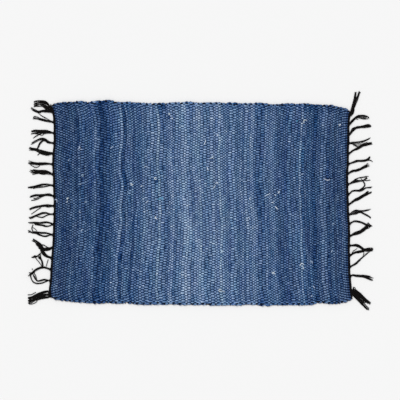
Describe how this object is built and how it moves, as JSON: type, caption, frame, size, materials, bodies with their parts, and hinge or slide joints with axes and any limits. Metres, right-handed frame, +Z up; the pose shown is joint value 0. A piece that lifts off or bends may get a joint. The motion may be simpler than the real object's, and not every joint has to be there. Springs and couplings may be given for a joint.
{
  "type": "rag rug",
  "caption": "Flat rectangular rag rug in plain weave, blue weft on black warp, with knotted black warp fringe at both ends.",
  "frame": {"origin": "middle of the cloth's flat underside, where it rests on the floor", "axes": "+X along the warp from the left fringe to the right one, +Y along the weft towards the upper selvedge, +Z up from the floor"},
  "size_m": [1.0346, 0.6522, 0.007],
  "materials": {
    "blue_rag_weft": "matte woven cotton rag, indigo and faded blue strips",
    "black_warp": "matte black cotton warp yarn"
  },
  "bodies": {
    "root": {"woven_body": "blue_rag_weft", "fringe_left": "black_warp", "fringe_right": "black_warp"}
  },
  "joints": []
}
